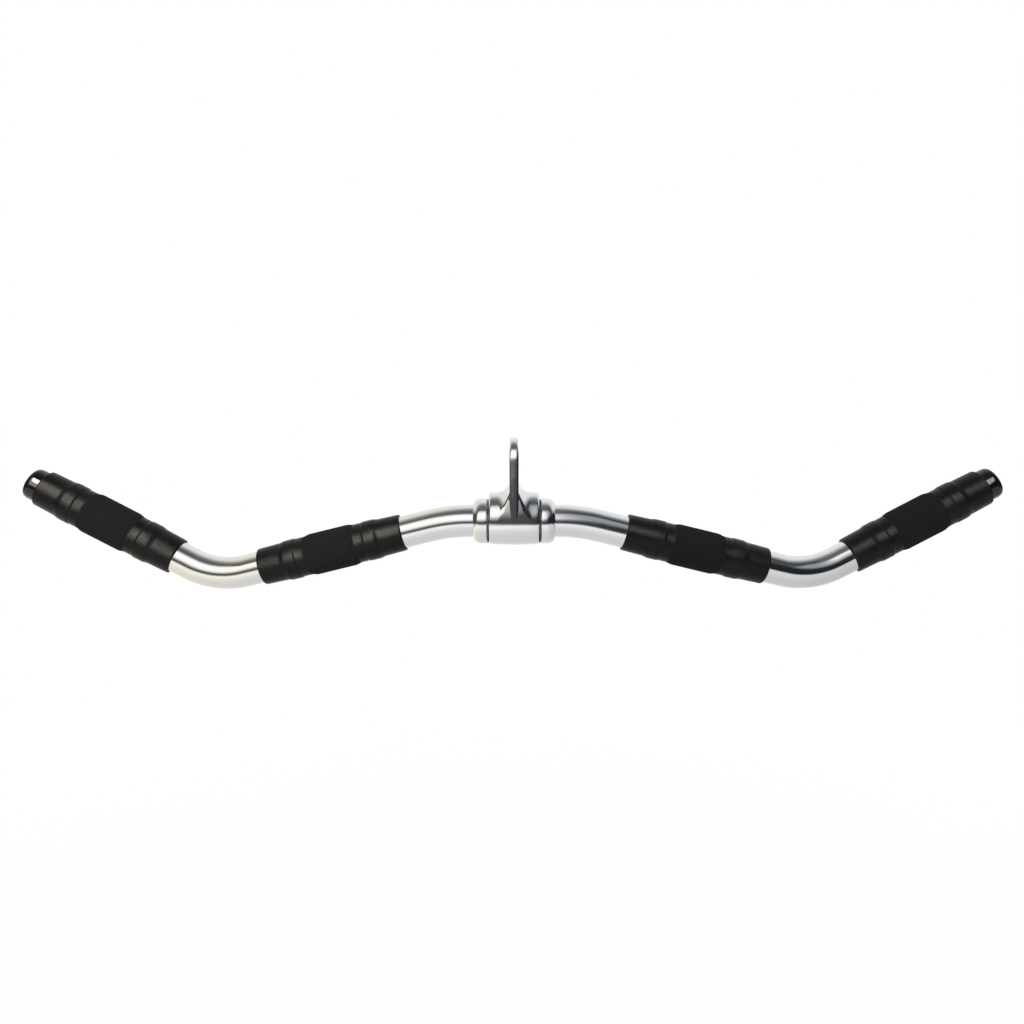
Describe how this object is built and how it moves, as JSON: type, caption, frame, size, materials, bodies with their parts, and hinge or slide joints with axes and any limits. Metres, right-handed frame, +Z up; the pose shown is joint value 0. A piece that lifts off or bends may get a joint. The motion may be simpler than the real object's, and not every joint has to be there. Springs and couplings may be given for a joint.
{
  "type": "cable machine bar",
  "caption": "Chromed steel cable-machine bar bent to a shallow W, with moulded rubber grips and a swivel hanger eye that a snap hook clips through.",
  "frame": {"origin": "centre of the round hole in the hanger's eye, where the cable's hook pulls", "axes": "+X along the bar, from the left end to the right end as the picture shows it; +Y away from the viewer; +Z up, from the bar to the cable. The bar turns about the line parallel to X, 48 mm under the origin."},
  "size_m": [0.757, 0.0378, 0.1188],
  "materials": {
    "chrome": "polished chrome plate with fine handling marks",
    "rubber": "moulded rubber, satin on the cuffs and bands, finely textured on the barrel",
    "black_plastic": "glossy black moulded plastic",
    "nylon": "matt dark nylon",
    "bronze": "turned sintered bronze, lightly oiled",
    "black_steel": "black oxide on alloy steel"
  },
  "bodies": {
    "hanger": {"swivel_hanger": "chrome", "bush_left": "bronze", "bush_right": "bronze"},
    "bar": {"bar_tube": "chrome", "thrust_washer_left": "nylon", "thrust_washer_right": "nylon", "stop_collar_left": "chrome", "stop_collar_right": "chrome", "set_screw_left_upper": "black_steel", "set_screw_left_lower": "black_steel", "set_screw_right_upper": "black_steel", "set_screw_right_lower": "black_steel", "grip_inner_left": "rubber", "grip_inner_right": "rubber", "grip_outer_left": "rubber", "grip_outer_right": "rubber", "end_plug_left": "black_plastic", "end_plug_right": "black_plastic"}
  },
  "joints": [
    {"name": "bar_swivel", "type": "hinge", "parent": "hanger", "child": "bar", "pos_m": [0, 0, -0.048], "axis": [1, 0, 0], "continuous": true}
  ]
}
